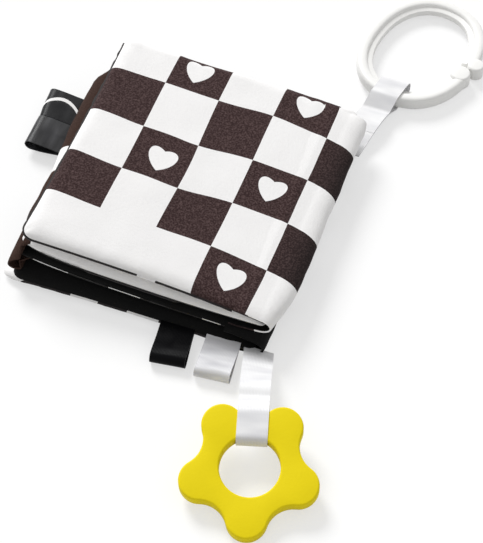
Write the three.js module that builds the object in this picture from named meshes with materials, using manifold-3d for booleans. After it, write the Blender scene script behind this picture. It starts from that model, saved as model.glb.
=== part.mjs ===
// A folded cloth book for babies: four padded panels in a zigzag, held by three cloth folds,
// with ribbon loops along its edges, a silicone star on one strap and a snap ring on another.
// Millimetres, +Z up, +X right, -Y to the reader. The origin is the centre of the flat underside.

import * as THREE from 'three';
import { mergeVertices } from 'three/addons/utils/BufferGeometryUtils.js';
import Module from 'manifold-3d';

const wasm = await Module();
wasm.setup();

// Driving sizes of the panels. The stack is wedge-shaped: the pads are squeezed at the right folds.
const panelCount = 4;
const panelWidth = 132;
const panelDepth = 144;
const thickLeft = 8.6;
const thickRight = 5.5;
const leanX = 1.5;
const leanY = 3;
const cornerRadius = 7;
const cornerRadiusAtFold = 3;
const leastCornerRadius = 0.3;
const drawIn = 1.2;
const edgeRound = 8;
const foldRound = 20;
const coverCrown = 1.6;
const clothThick = 0.6;
const gap = 0.3;

// Folds: how far the hinge line lies outside the pads, and the cloth sleeve that bridges them.
const foldReach = 6.5;
const sleeveLap = 3;
const sleeveInset = 0.15;
const sleeveThick = 0.45;
const sleeveEndInset = 0.8;

// Ribbons.
const wideRibbon = 19.4;
const strapRibbon = 15;
const ribbonThick = 0.6;
const frontLoopReach = 23;
const leftLoopReach = 27;
const loopHeight = 6.6;
const leftLoopRise = 1.2;
const loopNeck = 3;
const loopBellyShares = [0.25, 0.5, 0.75];
const blackLoopInset = 37;
const whiteLoopInset = 14.8;
const leftLoopInset = 40.5;
const loopSpacing = 20;

// Teether: a flat five-lobed star with a round hole.
const starLobes = 5;
const lobeRadius = 10;
const lobeCentreRadius = 24.5;
const valleyRadius = 24.8;
const starHoleRadius = 14.6;
const starThick = 7;
const starBevel = 2;
const starTilt = THREE.MathUtils.degToRad(12);
const starStrapAngle = THREE.MathUtils.degToRad(16.4);
const strapRootOut = 3.6;
const starStrapArch = 4;
const starReach = 68.4;

// Ring: an oval snap link with an outer band and a thinner inner flange.
const ringHalfWidth = 32.5;
const ringHalfLength = 41;
const ringPower = 2.2;
const bandWidth = 6;
const bandHeight = 8;
const flangeWidth = 3;
const flangeHeight = 4;
const bandBevel = 1.2;
const claspNubRadius = 5.5;
const claspHookRadius = 4.6;
const claspStep = 4.4;
const claspGap = 0.8;
const ringStrapAngle = THREE.MathUtils.degToRad(11.9);
const ringStrapArch = 3;
const ringReach = 79;
const strapTaper = 9;
const strapClearance = 0.45;
const strapSkewLength = 18;
const strapFlareShare = 0.55;
const strapBendShare = 0.8;
const strapPointLength = 1.2;

// Facet counts, and how near two points are before they are taken as one.
const mergeNear = 1e-3;
const mergeTight = 1e-4;
const sideSteps = 5;
const cornerSteps = 3;
const arcSteps = 6;
const ovalSteps = 56;

// Helpers

const halfPi = Math.PI / 2;
const material = (color, roughness) => new THREE.MeshStandardMaterial({ color, roughness, metalness: 0 });

const printCloth = material(0x463838, 0.92);
const whiteCloth = material(0xf0eeee, 0.92);
const innerCloth = material(0x5a4034, 0.92);
const wadding = material(0xf6f6f2, 1);
const blackSatin = material(0x17161a, 0.45);
const whiteSatin = material(0xf2f2f2, 0.4);
const silicone = material(0xeedc1e, 0.5);
const ivoryPlastic = material(0xf0f0ec, 0.35);

const book = new THREE.Group();

const fromPolar = (radius, angle) => new THREE.Vector2(radius * Math.cos(angle), radius * Math.sin(angle));

function place(name, geometry, finish, parent = book) {
  const mesh = new THREE.Mesh(geometry, finish);
  mesh.name = name;
  parent.add(mesh);
  return mesh;
}

function toManifold(geometry) {
  const bare = geometry.index ? geometry.toNonIndexed() : geometry.clone();
  bare.deleteAttribute('normal');
  bare.deleteAttribute('uv');
  const merged = mergeVertices(bare, mergeTight);
  return new wasm.Manifold(new wasm.Mesh({
    numProp: 3,
    vertProperties: new Float32Array(merged.attributes.position.array),
    triVerts: new Uint32Array(merged.index.array),
  }));
}

function fromManifold(solid) {
  const mesh = solid.getMesh();
  const geometry = new THREE.BufferGeometry();
  geometry.setAttribute('position', new THREE.BufferAttribute(new Float32Array(mesh.vertProperties), 3));
  geometry.setIndex(new THREE.BufferAttribute(new Uint32Array(mesh.triVerts), 1));
  return geometry;
}

function surfaceGeometry(points, faces) {
  const geometry = new THREE.BufferGeometry();
  geometry.setAttribute('position', new THREE.BufferAttribute(new Float32Array(points.flat()), 3));
  geometry.setIndex(faces.flat());
  return geometry;
}

// Panels

// Panel 1 is the cover on top, and the last panel lies on the table. Level k is the lower face of
// the panel that lies k steps up.
const panelNumbers = Array.from({ length: panelCount }, (_, index) => index + 1);
const stepsUp = (number) => panelCount - number;
const panelCentreX = (number) => leanX * stepsUp(number);
const panelCentreY = (number) => leanY * stepsUp(number);
const halfWidth = panelWidth / 2;
const halfDepth = panelDepth / 2;

// Folds on the right join panels 1 and 2, and 3 and 4. The fold on the left joins the inner two.
const hasFold = (number, side) => side > 0 || (number > 1 && number < panelCount);

// Thickness of one panel's slot in the stack at a place across the book.
function slotThickness(x) {
  const share = (x + halfWidth) / panelWidth;
  return THREE.MathUtils.lerp(thickLeft, thickRight, share);
}

const levelZ = (level, x) => level * slotThickness(x);
const midZ = (number, x) => levelZ(stepsUp(number) + 0.5, x);

// The outline of a pad, inset by a distance: a rectangle with round corners and drawn-in sides.
function padOutline(number, inset) {
  const points = [];
  const corners = [
    { sx: 1, sy: -1 },
    { sx: 1, sy: 1 },
    { sx: -1, sy: 1 },
    { sx: -1, sy: -1 },
  ];
  const a = halfWidth - inset;
  const b = halfDepth - inset;
  const radiusOf = (corner) => Math.max(
    (hasFold(number, corner.sx) ? cornerRadiusAtFold : cornerRadius) - inset,
    leastCornerRadius,
  );
  corners.forEach((corner, index) => {
    const radius = radiusOf(corner);
    const cx = corner.sx * (a - radius);
    const cy = corner.sy * (b - radius);
    const startAngle = (index - 1) * halfPi;
    for (let i = 0; i <= cornerSteps; i += 1) {
      const angle = startAngle + (i / cornerSteps) * halfPi;
      points.push(new THREE.Vector2(cx, cy).add(fromPolar(radius, angle)));
    }
    const next = corners[(index + 1) % corners.length];
    const nextRadius = radiusOf(next);
    const from = points[points.length - 1].clone();
    const nextCentre = new THREE.Vector2(next.sx * (a - nextRadius), next.sy * (b - nextRadius));
    const endAngle = index * halfPi;
    const to = nextCentre.add(fromPolar(nextRadius, endAngle));
    for (let i = 1; i < sideSteps; i += 1) points.push(from.clone().lerp(to, i / sideSteps));
  });
  for (const point of points) {
    const alongX = THREE.MathUtils.clamp(point.x / a, -1, 1);
    const alongY = THREE.MathUtils.clamp(point.y / b, -1, 1);
    const pull = drawIn * Math.max(0, 1 - inset / edgeRound);
    if (!hasFold(number, alongX)) point.x -= pull * alongX * (1 - alongY ** 2);
    point.y -= pull * alongY * (1 - alongX ** 2);
  }
  return points;
}

// How wide the rounding is at a point of the outline: wider where the pad runs into a fold.
function roundingAt(number, point) {
  const share = THREE.MathUtils.clamp((Math.abs(point.x) - halfWidth + foldRound) / foldRound, 0, 1);
  return hasFold(number, point.x) ? THREE.MathUtils.lerp(edgeRound, foldRound, share) : edgeRound;
}

const quarterRound = (share) => Math.sqrt(Math.max(0, 1 - (1 - Math.min(1, share)) ** 2));

// One rounded face of a pad as rings of points, from the seam to the middle.
function padFace(number, side, skin, ringShares, seamZ) {
  const rings = [];
  const outer = padOutline(number, 0);
  const onTable = side < 0 && number === panelCount;
  const clear = onTable ? 0 : gap / 2;
  const crownHeight = side > 0 && number === 1 ? coverCrown : 0;
  const insets = [...ringShares.map((share) => ({ share })), { inset: halfWidth / 2 }];
  for (const { share, inset } of insets) {
    const ring = outer.map((rim, index) => {
      const rounding = roundingAt(number, rim);
      const depth = inset ?? share * rounding;
      const flat = padOutline(number, depth + skin)[index];
      const lift = quarterRound(depth / rounding);
      const half = slotThickness(flat.x) / 2 - clear - skin;
      const crown = crownHeight * (1 - (flat.x / halfWidth) ** 2) * (1 - (flat.y / halfDepth) ** 2);
      const z = midZ(number, flat.x) + side * (seamZ * (1 - lift) + half * lift) + crown * lift;
      return [flat.x, flat.y, z];
    });
    rings.push(ring);
  }
  const middleHalf = slotThickness(0) / 2 - clear - skin;
  rings.middle = [0, 0, midZ(number, 0) + side * middleHalf + crownHeight];
  return rings;
}

function addFace(points, faces, rings, flip) {
  const count = rings[0].length;
  const base = points.length;
  rings.forEach((ring) => points.push(...ring));
  points.push(rings.middle);
  const middle = points.length - 1;
  const face = (a, b, c) => faces.push(flip ? [a, c, b] : [a, b, c]);
  for (let r = 0; r < rings.length; r += 1) {
    for (let i = 0; i < count; i += 1) {
      const here = base + r * count + i;
      const next = base + r * count + ((i + 1) % count);
      if (r === rings.length - 1) {
        face(here, next, middle);
      } else {
        face(here, next, next + count);
        face(here, next + count, here + count);
      }
    }
  }
  return base;
}

const clothRingShares = [0, 0.06, 0.25, 0.6, 1];
const waddingRingShares = [0, 0.25, 1];

// A cloth face of a panel: an open tray of cloth from the seam over the pad.
function clothShell(number, side) {
  const points = [];
  const faces = [];
  const outside = padFace(number, side, 0, clothRingShares, gap / 2);
  const inside = padFace(number, side, clothThick, clothRingShares, gap / 2);
  const upward = side > 0;
  const outBase = addFace(points, faces, outside, !upward);
  const inBase = addFace(points, faces, inside, upward);
  const count = outside[0].length;
  for (let i = 0; i < count; i += 1) {
    const next = (i + 1) % count;
    const quad = [[outBase + i, inBase + next, outBase + next], [outBase + i, inBase + i, inBase + next]];
    quad.forEach(([a, b, c]) => faces.push(upward ? [a, b, c] : [a, c, b]));
  }
  return surfaceGeometry(points, faces);
}

// The wadding: a lens-shaped pad that fills the two cloth trays.
function waddingPad(number) {
  const points = [];
  const faces = [];
  const skin = clothThick + gap;
  addFace(points, faces, padFace(number, 1, skin, waddingRingShares, 0), false);
  addFace(points, faces, padFace(number, -1, skin, waddingRingShares, 0), true);
  return mergeVertices(surfaceGeometry(points, faces), mergeNear);
}

for (const number of panelNumbers) {
  const panel = new THREE.Group();
  panel.position.set(panelCentreX(number), panelCentreY(number), 0);
  book.add(panel);
  const printUp = number % 2 === 1;
  place(`panel_${number}_upper_cloth`, clothShell(number, 1), printUp ? printCloth : whiteCloth, panel);
  place(`panel_${number}_lower_cloth`, clothShell(number, -1), printUp ? whiteCloth : printCloth, panel);
  place(`panel_${number}_wadding`, waddingPad(number), wadding, panel);
}

// Folds

// A cloth sleeve that wraps the ends of two panels: a half ellipse in section, swept along the fold.
function foldSleeve(upper, side) {
  const lower = upper + 1;
  const endX = side * halfWidth;
  const thick = slotThickness(endX);
  const level = stepsUp(upper);
  const bulgeHeight = thick - sleeveInset;
  const bulgeReach = foldReach + sleeveLap;
  const steps = 2 * arcSteps;
  const halfEllipse = (reach, height) => Array.from({ length: steps + 1 }, (_, i) => {
    const angle = -halfPi + (i / steps) * Math.PI;
    return new THREE.Vector2(reach * Math.cos(angle), height * Math.sin(angle));
  });
  const shape = new THREE.Shape([
    ...halfEllipse(bulgeReach, bulgeHeight),
    ...halfEllipse(bulgeReach - sleeveThick, bulgeHeight - sleeveThick).reverse(),
  ]);
  const length = panelDepth - leanY - 2 * sleeveEndInset;
  const sleeve = new THREE.ExtrudeGeometry(shape, { depth: length, bevelEnabled: false, steps: 1 });
  sleeve.rotateX(halfPi);
  sleeve.translate(0, length / 2, 0);
  if (side < 0) sleeve.rotateZ(Math.PI);
  const pairX = (panelCentreX(upper) + panelCentreX(lower)) / 2;
  const pairY = (panelCentreY(upper) + panelCentreY(lower)) / 2;
  sleeve.translate(pairX + side * (halfWidth - sleeveLap), pairY, levelZ(level, endX));
  return sleeve;
}

place('fold_12_cloth', foldSleeve(1, 1), printCloth);
place('fold_23_cloth', foldSleeve(2, -1), innerCloth);
place('fold_34_cloth', foldSleeve(3, 1), printCloth);

// Ribbon loops

// One wall line of a loop seen from its edge: a slim drop that starts at the seam and swells
// outward. The inner line is drawn in by the ribbon's thickness.
function loopOutline(reach, height, wall) {
  const roundX = reach - height / 2;
  const neckHalf = ribbonThick + gap - wall;
  const bellyHalf = height / 2 - wall;
  const belly = loopBellyShares.map((share) => new THREE.Vector2(
    THREE.MathUtils.lerp(loopNeck, roundX, share),
    THREE.MathUtils.lerp(neckHalf, bellyHalf, THREE.MathUtils.smoothstep(share, 0, 1)),
  ));
  const mirrored = (points) => points.map((point) => new THREE.Vector2(point.x, -point.y)).reverse();
  const bend = [];
  for (let i = 0; i <= 2 * arcSteps; i += 1) {
    const angle = -halfPi + (i / (2 * arcSteps)) * Math.PI;
    bend.push(new THREE.Vector2(roundX, 0).add(fromPolar(bellyHalf, angle)));
  }
  return [...mirrored(belly).reverse(), ...bend, ...[...belly].reverse()];
}

function loopSection(reach, height) {
  const neckHalf = ribbonThick + gap;
  const neck = [new THREE.Vector2(0, -neckHalf), new THREE.Vector2(loopNeck, -neckHalf)];
  const shape = new THREE.Shape([
    ...neck,
    ...loopOutline(reach, height, 0),
    new THREE.Vector2(loopNeck, neckHalf),
    new THREE.Vector2(0, neckHalf),
  ]);
  const inner = [new THREE.Vector2(loopNeck + ribbonThick, 0), ...loopOutline(reach, height, ribbonThick)];
  shape.holes.push(new THREE.Path(inner.reverse()));
  return shape;
}

function ribbonLoop(reach, width) {
  const section = loopSection(reach, loopHeight);
  const loop = new THREE.ExtrudeGeometry(section, { depth: width, bevelEnabled: false, steps: 1 });
  loop.rotateX(halfPi);
  loop.translate(0, width / 2, 0);
  return loop;
}

const frontLoopZ = (x) => Math.max(midZ(panelCount, x), loopHeight / 2 + gap);

function frontLoop(name, x, finish) {
  const loop = place(name, ribbonLoop(frontLoopReach, wideRibbon), finish);
  const draw = drawIn * (1 - (x / halfWidth) ** 2);
  loop.rotation.z = -halfPi;
  loop.position.set(x, -halfDepth + draw - gap, frontLoopZ(x));
}

function leftLoop(name, y, finish) {
  const loop = place(name, ribbonLoop(leftLoopReach, wideRibbon), finish);
  const draw = drawIn * (1 - (y / halfDepth) ** 2);
  loop.rotation.z = Math.PI;
  loop.position.set(-halfWidth + draw - gap, y, midZ(panelCount, -halfWidth) + leftLoopRise);
}

frontLoop('front_loop_black', halfWidth - blackLoopInset, blackSatin);
frontLoop('front_loop_white', halfWidth - whiteLoopInset, whiteSatin);
const leftLoopY = halfDepth - leftLoopInset;
leftLoop('left_loop_back', leftLoopY + loopSpacing / 2, blackSatin);
leftLoop('left_loop_front', leftLoopY - loopSpacing / 2, blackSatin);

// Straps

// A doubled ribbon runs from the seam, arches and is stitched at its neck, where a loop goes on
// round a bar. The sections lie in the upright plane of the strap: s runs outward from the seam,
// and the bar is centred at s, z and tilts down outward. The ribbon bends at the seam and at the
// neck, so its ends run out to a line there.
function strapSections({ barS, barZ, barHalfWidth, barHalfHeight, tilt, rootZ, arch }) {
  const toPlane = (u, v) => new THREE.Vector2(
    barS + u * Math.cos(tilt) + v * Math.sin(tilt),
    barZ - u * Math.sin(tilt) + v * Math.cos(tilt),
  );
  const innerHalfW = barHalfWidth + strapClearance;
  const innerHalfH = barHalfHeight + strapClearance;
  const outerHalfW = innerHalfW + ribbonThick;
  const outerHalfH = innerHalfH + ribbonThick;
  const neckU = -(innerHalfW + strapTaper);
  const neck = toPlane(neckU, 0);
  const bend = innerHalfH * strapBendShare;
  const farEnd = (halfW, halfH, radius) => {
    const points = [];
    for (const side of [1, -1]) {
      for (let i = 0; i <= arcSteps; i += 1) {
        const angle = side > 0 ? halfPi * (1 - i / arcSteps) : -halfPi * (i / arcSteps);
        const bent = fromPolar(radius, angle);
        points.push(toPlane(halfW - radius + bent.x, side * (halfH - radius) + bent.y));
      }
    }
    return points;
  };
  const root = new THREE.Vector2(0, rootZ);
  const runEnd = toPlane(neckU - gap, 0);
  const run = new THREE.CubicBezierCurve(
    new THREE.Vector2(strapPointLength, rootZ),
    new THREE.Vector2(neck.x / 3, rootZ + arch),
    new THREE.Vector2((2 * neck.x) / 3, neck.y + arch),
    toPlane(neckU - gap - strapPointLength, 0),
  );
  const runPoints = run.getPoints(2 * arcSteps);
  const shifted = (point, rise) => new THREE.Vector2(point.x, point.y + rise);
  const runShape = new THREE.Shape([
    root,
    ...runPoints.map((point) => shifted(point, -ribbonThick)),
    runEnd,
    ...runPoints.map((point) => shifted(point, ribbonThick)).reverse(),
  ]);
  const flareU = -innerHalfW - strapTaper * (1 - strapFlareShare);
  const flareV = innerHalfH * strapFlareShare;
  const outline = [
    toPlane(neckU, 0),
    toPlane(neckU + strapPointLength, ribbonThick),
    toPlane(flareU, flareV + ribbonThick),
    toPlane(-innerHalfW, outerHalfH),
    ...farEnd(outerHalfW, outerHalfH, bend + ribbonThick),
    toPlane(-innerHalfW, -outerHalfH),
    toPlane(flareU, -flareV - ribbonThick),
    toPlane(neckU + strapPointLength, -ribbonThick),
  ];
  const loopShape = new THREE.Shape(outline.reverse());
  loopShape.holes.push(new THREE.Path([
    toPlane(neckU + 2 * strapPointLength, 0),
    toPlane(flareU, flareV),
    toPlane(-innerHalfW, innerHalfH),
    ...farEnd(innerHalfW, innerHalfH, bend),
    toPlane(-innerHalfW, -innerHalfH),
    toPlane(flareU, -flareV),
  ]));
  return { runShape, loopShape };
}

// A section is swept across the ribbon's width. The seam end is skewed to lie along the seam.
function ribbonSweep(section, width, seamAngle) {
  const solid = new THREE.ExtrudeGeometry(section, { depth: width, bevelEnabled: false, steps: 1 });
  solid.rotateX(halfPi);
  solid.translate(0, width / 2, 0);
  const position = solid.attributes.position;
  for (let i = 0; i < position.count; i += 1) {
    const s = position.getX(i);
    const fade = Math.max(0, 1 - s / strapSkewLength);
    position.setX(i, s + fade * position.getY(i) * Math.tan(seamAngle));
  }
  return solid;
}

function addStrap(name, sections, seamAngle, x, y, turn) {
  const parts = { [name]: sections.runShape, [`${name}_loop`]: sections.loopShape };
  for (const [partName, section] of Object.entries(parts)) {
    const piece = place(partName, ribbonSweep(section, strapRibbon, seamAngle), whiteSatin);
    piece.rotation.z = turn;
    piece.position.set(x, y, 0);
  }
}

// Teether

// The valleys are arcs that touch the round lobes on both sides.
const starHalfStep = Math.PI / starLobes;
const valleyArc = (lobeCentreRadius ** 2 - lobeRadius ** 2 + valleyRadius ** 2
  - 2 * lobeCentreRadius * valleyRadius * Math.cos(starHalfStep))
  / (2 * (lobeRadius - valleyRadius + lobeCentreRadius * Math.cos(starHalfStep)));
const valleyCentre = valleyRadius + valleyArc;

function starOutline() {
  const points = [];
  for (let k = 0; k < starLobes; k += 1) {
    const lobeAngle = 2 * k * starHalfStep;
    const lobe = fromPolar(lobeCentreRadius, lobeAngle);
    const valley = fromPolar(valleyCentre, lobeAngle + starHalfStep);
    const nextLobe = fromPolar(lobeCentreRadius, lobeAngle + 2 * starHalfStep);
    const toValley = valley.clone().sub(lobe).angle();
    const sweep = THREE.MathUtils.euclideanModulo(toValley - lobeAngle, 2 * Math.PI);
    for (let i = -arcSteps; i < arcSteps; i += 1) {
      const angle = lobeAngle + (i / arcSteps) * sweep;
      points.push(lobe.clone().add(fromPolar(lobeRadius, angle)));
    }
    const fromAngle = toValley + Math.PI;
    const toNext = nextLobe.clone().sub(valley).angle();
    const turn = -THREE.MathUtils.euclideanModulo(fromAngle - toNext, 2 * Math.PI);
    for (let i = 0; i < arcSteps; i += 1) {
      const angle = fromAngle + (i / arcSteps) * turn;
      points.push(valley.clone().add(fromPolar(valleyArc, angle)));
    }
  }
  return points;
}

function starTeether() {
  const inset = starBevel;
  const shape = new THREE.Shape(starOutline());
  shape.holes.push(new THREE.Path().absarc(0, 0, starHoleRadius, 0, 2 * Math.PI, true));
  const body = new THREE.ExtrudeGeometry(shape, {
    depth: starThick - 2 * inset,
    bevelEnabled: true,
    bevelThickness: inset,
    bevelSize: inset,
    bevelOffset: -inset,
    bevelSegments: 2,
    curveSegments: 3 * arcSteps,
    steps: 1,
  });
  body.translate(0, 0, -starThick / 2 + inset);
  return body;
}

// The star leans from the strap, with the rounded edge of its lowest lobe on the table.
const tipRadius = lobeCentreRadius + lobeRadius;
const starCentreZ = (tipRadius - starBevel) * Math.sin(starTilt) + (starThick / 2) * Math.cos(starTilt);
const strapHalf = strapRibbon / 2;
const starBarOuter = valleyCentre - Math.sqrt(valleyArc ** 2 - strapHalf ** 2);
const starBarInner = Math.sqrt(starHoleRadius ** 2 - strapHalf ** 2);
const starBarRadius = (starBarOuter + starBarInner) / 2;
const starBarZ = starCentreZ + starBarRadius * Math.sin(starTilt);
const strapRootX = halfWidth + strapRootOut;
const strapRootY = -halfDepth - gap;
const starBarS = starReach - starBarRadius * Math.cos(starTilt);

const starTurn = -halfPi + starStrapAngle;
const starSections = strapSections({
  barS: starBarS,
  barZ: starBarZ,
  barHalfWidth: (starBarOuter - starBarInner) / 2,
  barHalfHeight: starThick / 2,
  tilt: starTilt,
  rootZ: midZ(panelCount, halfWidth),
  arch: starStrapArch,
});
addStrap('teether_strap', starSections, starStrapAngle, strapRootX, strapRootY, starTurn);

const teether = place('star_teether', starTeether(), silicone);
const starPivot = new THREE.Group();
starPivot.rotation.z = starTurn;
starPivot.position.set(
  strapRootX + starReach * Math.sin(starStrapAngle),
  strapRootY - starReach * Math.cos(starStrapAngle),
  starCentreZ,
);
teether.rotation.y = starTilt;
starPivot.add(teether);
book.add(starPivot);

// Ring

const ovalPoint = (halfX, halfY, angle) => {
  const c = Math.cos(angle);
  const s = Math.sin(angle);
  const power = 2 / ringPower;
  return new THREE.Vector2(
    halfX * Math.sign(c) * Math.abs(c) ** power,
    halfY * Math.sign(s) * Math.abs(s) ** power,
  );
};

// The curve angle at which the oval reaches a given distance from its middle line.
const ovalAngleAt = (y) => Math.sign(y) * Math.asin((Math.abs(y) / ringHalfLength) ** (ringPower / 2));

// An open oval band between two insets from the ring's outer edge, from one arm's end to the other's.
function ovalBand(insetOut, insetIn, fromAngle, toAngle) {
  const points = [];
  for (let i = 0; i <= ovalSteps; i += 1) {
    const angle = THREE.MathUtils.lerp(fromAngle, toAngle, i / ovalSteps);
    points.push(ovalPoint(ringHalfWidth - insetOut, ringHalfLength - insetOut, angle));
  }
  for (let i = ovalSteps; i >= 0; i -= 1) {
    const angle = THREE.MathUtils.lerp(fromAngle, toAngle, i / ovalSteps);
    points.push(ovalPoint(ringHalfWidth - insetIn, ringHalfLength - insetIn, angle));
  }
  return new THREE.Shape(points);
}

function raised(shape, height, bevel) {
  const body = new THREE.ExtrudeGeometry(shape, {
    depth: height - 2 * bevel,
    bevelEnabled: true,
    bevelThickness: bevel,
    bevelSize: bevel,
    bevelOffset: -bevel,
    bevelSegments: 2,
    curveSegments: 2 * arcSteps,
    steps: 1,
  });
  body.translate(0, 0, -height / 2 + bevel);
  return toManifold(body);
}

const disc = (centre, radius) => new THREE.Shape().absarc(centre.x, centre.y, radius, 0, 2 * Math.PI, false);

function snapRing() {
  const middle = ringHalfWidth - bandWidth / 2;
  const apart = claspNubRadius + claspHookRadius + claspGap;
  const rise = Math.sqrt(apart ** 2 - claspStep ** 2);
  const nub = new THREE.Vector2(middle - claspStep / 2, -rise / 2);
  const hook = new THREE.Vector2(middle + claspStep / 2, rise / 2);
  const lowerEnd = ovalAngleAt(nub.y);
  const upperEnd = ovalAngleAt(hook.y);
  const bandShape = ovalBand(0, bandWidth, upperEnd, 2 * Math.PI + lowerEnd);
  const flangeShape = ovalBand(bandWidth / 2, bandWidth + flangeWidth, upperEnd, 2 * Math.PI + lowerEnd);
  return fromManifold(raised(bandShape, bandHeight, bandBevel)
    .add(raised(flangeShape, flangeHeight, bandBevel / 2))
    .add(raised(disc(nub, claspNubRadius), bandHeight, bandBevel))
    .add(raised(disc(hook, claspHookRadius), bandHeight, bandBevel)));
}

// The strap runs under the ring's near end, which lifts it by the strap's thickness.
const ringLift = ribbonThick + strapClearance + gap;
const ringTilt = Math.asin(ringLift / (2 * ringHalfLength));
const ringCentreZ = bandHeight / 2 + ringLift / 2;
const ringBandTotal = bandWidth + flangeWidth;
const ovalReachAt = (halfX, halfY, x) => halfY * (1 - (x / halfX) ** ringPower) ** (1 / ringPower);
const ringBarInner = ovalReachAt(ringHalfWidth - ringBandTotal, ringHalfLength - ringBandTotal, strapHalf);
const ringBarRadius = (ringHalfLength + ringBarInner) / 2;

const ringSections = strapSections({
  barS: ringReach - ringBarRadius * Math.cos(ringTilt),
  barZ: ringCentreZ + ringBarRadius * Math.sin(ringTilt),
  barHalfWidth: (ringHalfLength - ringBarInner) / 2,
  barHalfHeight: bandHeight / 2,
  tilt: ringTilt,
  rootZ: midZ(panelCount, halfWidth),
  arch: ringStrapArch,
});
addStrap('ring_strap', ringSections, -ringStrapAngle, strapRootX, -strapRootY, halfPi - ringStrapAngle);

const ring = place('snap_ring', snapRing(), ivoryPlastic);
ring.rotation.x = -ringTilt;
const ringPivot = new THREE.Group();
ringPivot.rotation.z = -ringStrapAngle;
ringPivot.position.set(
  strapRootX + ringReach * Math.sin(ringStrapAngle),
  -strapRootY + ringReach * Math.cos(ringStrapAngle),
  ringCentreZ,
);
ringPivot.add(ring);
book.add(ringPivot);

export default book;
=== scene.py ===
# %% [markdown]
# # A folded cloth book for babies
# The real thing is sewn from printed cotton: four padded squares in a zigzag, held by three cloth
# folds, with satin ribbon loops, a silicone star and a plastic snap ring on ribbon straps.
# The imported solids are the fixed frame. Every soft solid gets a finer piece in the same place.

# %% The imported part
import math

import bmesh
import bpy
from mathutils import Matrix, Vector, noise


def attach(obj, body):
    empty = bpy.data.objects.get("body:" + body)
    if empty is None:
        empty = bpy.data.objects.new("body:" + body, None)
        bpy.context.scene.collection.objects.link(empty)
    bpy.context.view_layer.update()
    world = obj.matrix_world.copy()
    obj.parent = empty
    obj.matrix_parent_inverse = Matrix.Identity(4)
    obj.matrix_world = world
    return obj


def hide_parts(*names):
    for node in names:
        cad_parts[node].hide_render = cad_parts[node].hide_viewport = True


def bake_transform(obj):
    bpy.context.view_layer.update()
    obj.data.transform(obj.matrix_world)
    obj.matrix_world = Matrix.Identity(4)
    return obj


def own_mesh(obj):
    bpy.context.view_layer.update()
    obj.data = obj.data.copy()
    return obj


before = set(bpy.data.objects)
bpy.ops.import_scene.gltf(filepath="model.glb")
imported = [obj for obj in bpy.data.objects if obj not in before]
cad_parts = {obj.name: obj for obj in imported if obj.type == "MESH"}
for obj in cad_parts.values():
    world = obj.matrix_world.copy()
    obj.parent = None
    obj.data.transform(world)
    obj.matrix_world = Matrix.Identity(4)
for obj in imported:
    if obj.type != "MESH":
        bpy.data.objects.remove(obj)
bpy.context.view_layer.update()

# %% [markdown]
# ## Camera
# The view was worked out from the corners of the printed squares. A long lens at one metre gives the
# same slight convergence as the picture.

# %% Camera
PICTURE_HEIGHT = 543
FOCAL_PIXELS = 1948
AZIMUTH = math.radians(20.07)
ELEVATION = math.radians(53.5)
TARGET = Vector((0.042892, -0.023573, 0.0))

camera_data = bpy.data.cameras.new("camera")
camera_data.sensor_width = 36
camera_data.lens = camera_data.sensor_width * FOCAL_PIXELS / PICTURE_HEIGHT
camera = bpy.data.objects.new("camera", camera_data)
bpy.context.scene.collection.objects.link(camera)
back = Vector((
    math.sin(AZIMUTH) * math.cos(ELEVATION),
    -math.cos(AZIMUTH) * math.cos(ELEVATION),
    math.sin(ELEVATION),
))
camera.location = TARGET + back
camera.rotation_mode = "QUATERNION"
camera.rotation_quaternion = (-back).to_track_quat("-Z", "Y")
bpy.context.scene.camera = camera
print("lens", round(camera_data.lens, 1))

# %% [markdown]
# ## Light and floor
# A white sweep and one broad lamp from the back left give a soft shadow to the right of the book.
# The floor shows its shadow to the camera but is lifted to white, as on a light table. It could also
# be a plain white plane under brighter lamps, but those would wash out the white cloth.

# %% Light and floor
FILL_LIGHT = 0.52
LAMP_LIGHT = 2.75
LAMP_WIDTH = math.radians(24)
LAMP_FROM = Vector((-0.62, 0.60, 0.70))
FLOOR_PAPER = 0.8
FLOOR_SHOWN = 0.40
FLOOR_LIFT = 0.59
FLOOR_HALF = 3.0
FLOOR_DROP = 0.0002


def plain_shader(tree, kind, grey, strength=None):
    shader = tree.nodes.new("ShaderNode" + kind)
    shader.inputs["Color"].default_value = (grey, grey, grey, 1.0)
    if strength is not None:
        shader.inputs["Strength"].default_value = strength
    return shader


def show(tree, seen, unseen, output):
    """Shows one shader to the camera and in reflections, and lights the object with the other."""
    path = tree.nodes.new("ShaderNodeLightPath")
    looked_at = path.outputs["Is Camera Ray"]
    for name in ("Is Glossy Ray", "Is Transmission Ray"):
        either = tree.nodes.new("ShaderNodeMath")
        either.operation = "MAXIMUM"
        tree.links.new(looked_at, either.inputs[0])
        tree.links.new(path.outputs[name], either.inputs[1])
        looked_at = either.outputs[0]
    mix = tree.nodes.new("ShaderNodeMixShader")
    out = tree.nodes.new(output)
    tree.links.new(looked_at, mix.inputs[0])
    tree.links.new(unseen.outputs[0], mix.inputs[1])
    tree.links.new(seen.outputs[0], mix.inputs[2])
    tree.links.new(mix.outputs[0], out.inputs[0])


bpy.context.scene.view_settings.view_transform = "Standard"
world = bpy.data.worlds.new("studio")
bpy.context.scene.world = world
world.use_nodes = True
tree = world.node_tree
tree.nodes.clear()
show(tree, plain_shader(tree, "Background", 1.0, 1.0), plain_shader(tree, "Background", 1.0, FILL_LIGHT),
     "ShaderNodeOutputWorld")

lamp_data = bpy.data.lights.new("broad_lamp", "SUN")
lamp_data.energy = LAMP_LIGHT
lamp_data.angle = LAMP_WIDTH
lamp = bpy.data.objects.new("broad_lamp", lamp_data)
bpy.context.scene.collection.objects.link(lamp)
lamp.rotation_mode = "QUATERNION"
lamp.rotation_quaternion = LAMP_FROM.to_track_quat("Z", "Y")

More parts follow.
